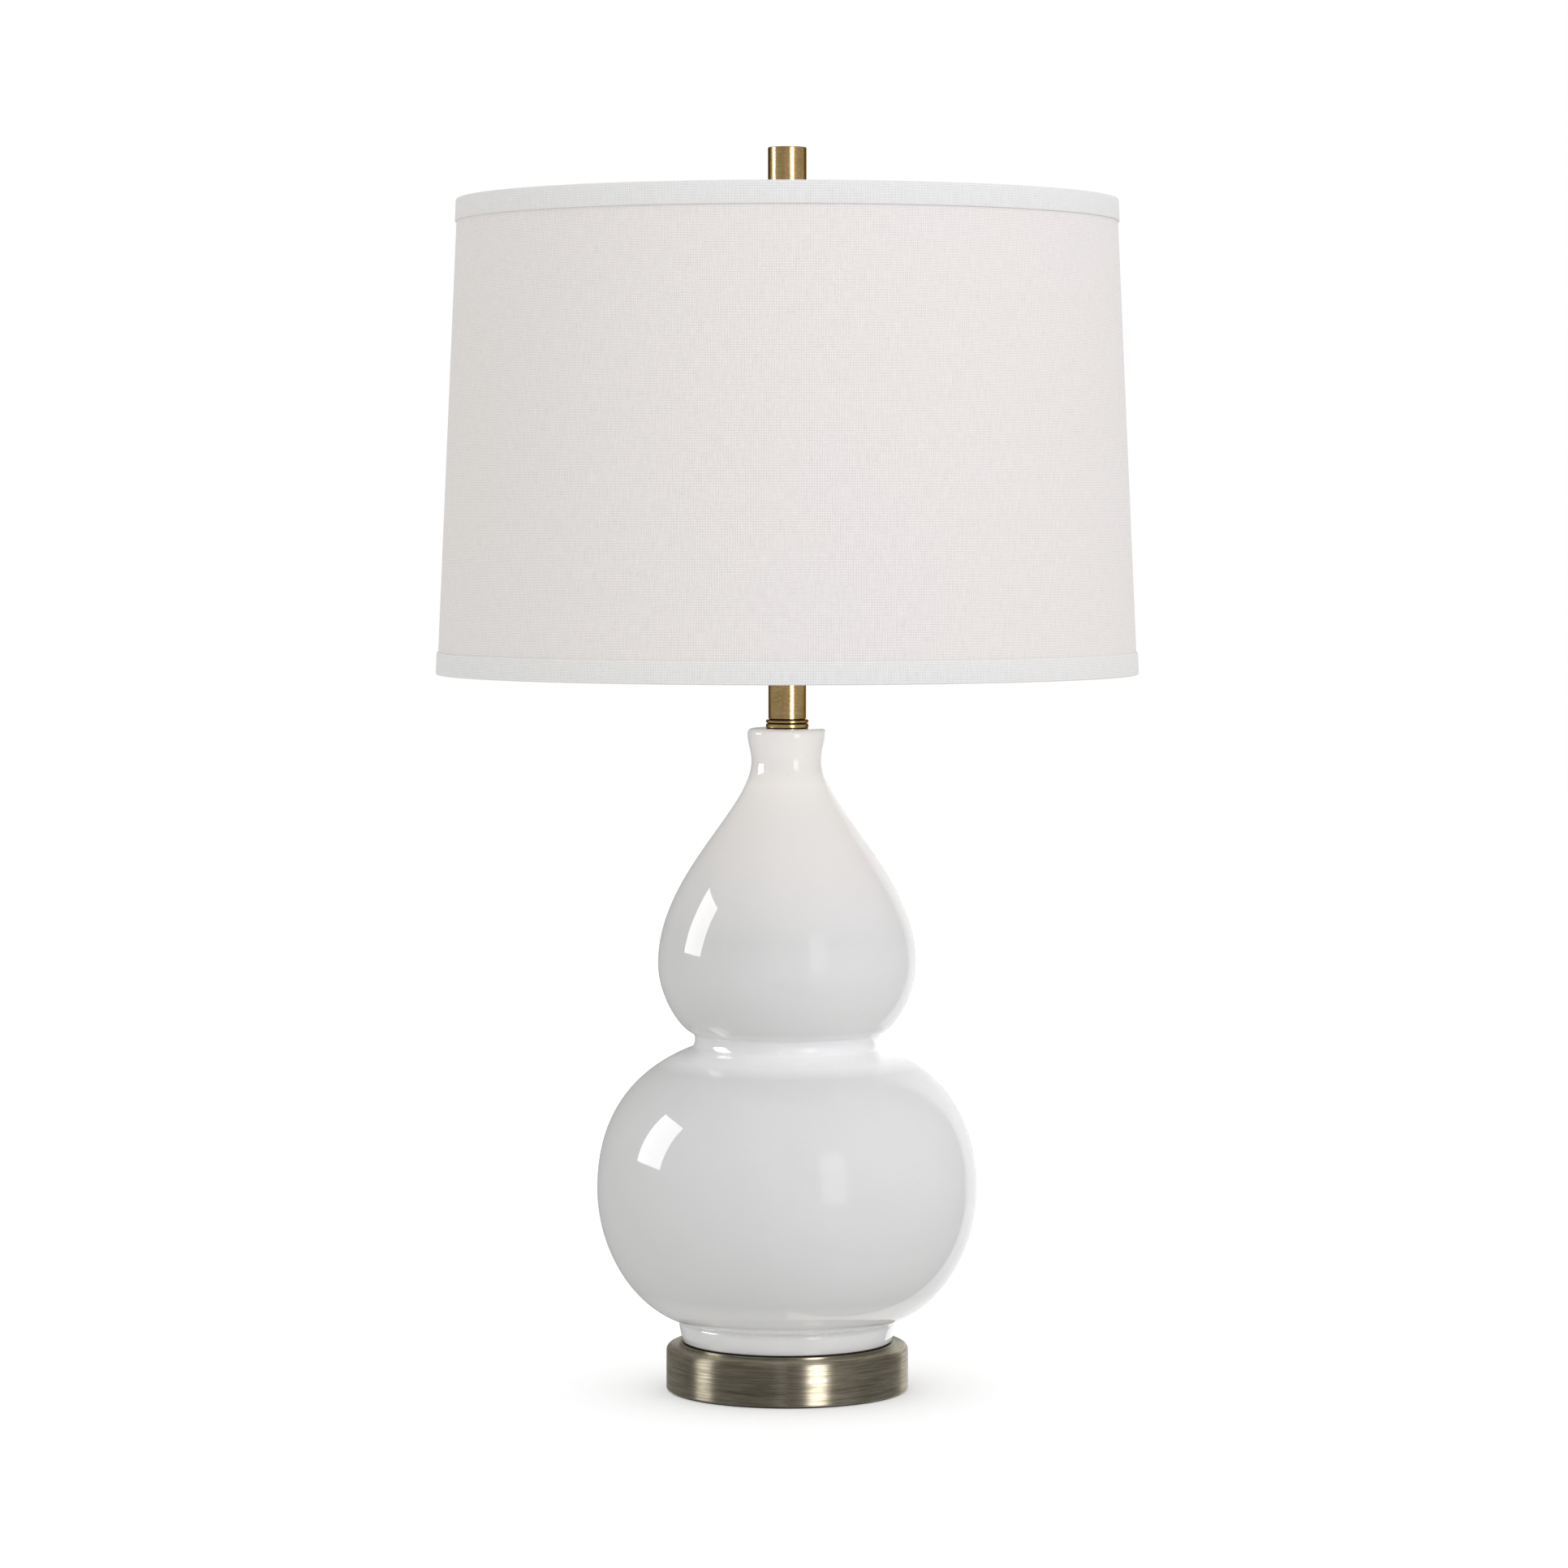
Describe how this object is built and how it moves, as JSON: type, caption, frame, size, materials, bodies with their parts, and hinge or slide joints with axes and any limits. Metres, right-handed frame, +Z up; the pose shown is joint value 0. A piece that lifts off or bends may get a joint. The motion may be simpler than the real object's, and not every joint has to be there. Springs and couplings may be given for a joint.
{
  "type": "double gourd lamp",
  "caption": "Table lamp with a double-gourd white ceramic body on a round brass base, a tapered drum shade on a harp, a finial and a turn-knob lamp holder.",
  "frame": {"origin": "middle of the felt pad's underside, on the table", "axes": "+Z up along the lamp's axis, -Y to the front where the switch knob points, +Y to the back where the cord leaves the base, +X to the right"},
  "size_m": [0.3758, 0.3758, 0.6649],
  "materials": {
    "antique_brass": "brushed antique brass",
    "bright_brass": "plain brass",
    "white_glaze": "glossy white glaze",
    "shade_cloth": "fine off-white linen weave",
    "shade_lining": "translucent white styrene",
    "zinc_steel": "zinc-plated",
    "iron": "rough black",
    "felt": "black felt",
    "black_rubber": "matte",
    "black_plastic": "satin black",
    "fibre": "vulcanised fibre",
    "cap_aluminium": "bright",
    "black_glass": "black vitrite",
    "bulb_glass": "frosted white"
  },
  "bodies": {
    "lamp_body": {"felt_pad": "felt", "base_drum": "antique_brass", "base_weight": "iron", "bottom_washer": "zinc_steel", "bottom_nut": "zinc_steel", "cord_bushing": "black_plastic", "foot_gasket": "black_rubber", "gourd_body": "white_glaze", "threaded_pipe": "zinc_steel", "neck_collar": "antique_brass", "neck_tube": "antique_brass", "check_ring": "antique_brass", "harp_saddle": "antique_brass", "socket_cap": "bright_brass", "cap_set_screw": "bright_brass", "socket_shell": "bright_brass", "socket_liner": "fibre", "socket_block": "black_plastic", "socket_screw_shell": "cap_aluminium", "socket_contact": "bright_brass", "terminal_screws": "bright_brass"},
    "switch": {"switch_shaft": "bright_brass", "switch_knob": "black_plastic"},
    "bulb": {"bulb_contact": "zinc_steel", "bulb_insulator": "black_glass", "bulb_cap": "cap_aluminium", "bulb_glass": "bulb_glass"},
    "harp": {"harp_wire": "antique_brass", "harp_stud": "antique_brass"},
    "ferrule_left": {"ferrule_left": "antique_brass"},
    "ferrule_right": {"ferrule_right": "antique_brass"},
    "shade": {"shade_fabric": "shade_cloth", "shade_liner": "shade_lining", "shade_top_ring": "zinc_steel", "shade_bottom_ring": "zinc_steel", "shade_spider": "antique_brass", "shade_top_trim": "shade_cloth", "shade_bottom_trim": "shade_cloth"},
    "finial": {"finial": "antique_brass"}
  },
  "joints": [
    {"name": "switch_knob_turn", "type": "hinge", "parent": "lamp_body", "child": "switch", "pos_m": [0, 0, 0.4277], "axis": [0, -1, 0], "continuous": true},
    {"name": "bulb_turn", "type": "hinge", "parent": "lamp_body", "child": "bulb", "pos_m": [0, 0, 0.4369], "axis": [0, 0, 1], "range_deg": [0, 1080]},
    {"name": "harp_lift", "type": "slide", "parent": "lamp_body", "child": "harp", "axis": [0, 0, 1], "range_m": [0, 0.05]},
    {"name": "ferrule_left_slide", "type": "slide", "parent": "harp", "child": "ferrule_left", "axis": [0, 0, 1], "range_m": [0, 0.011]},
    {"name": "ferrule_right_slide", "type": "slide", "parent": "harp", "child": "ferrule_right", "axis": [0, 0, 1], "range_m": [0, 0.011]},
    {"name": "shade_swivel", "type": "hinge", "parent": "harp", "child": "shade", "pos_m": [0, 0, 0.626], "axis": [0, 0, 1], "continuous": true},
    {"name": "finial_turn", "type": "hinge", "parent": "harp", "child": "finial", "pos_m": [0, 0, 0.6271], "axis": [0, 0, 1], "continuous": true}
  ]
}
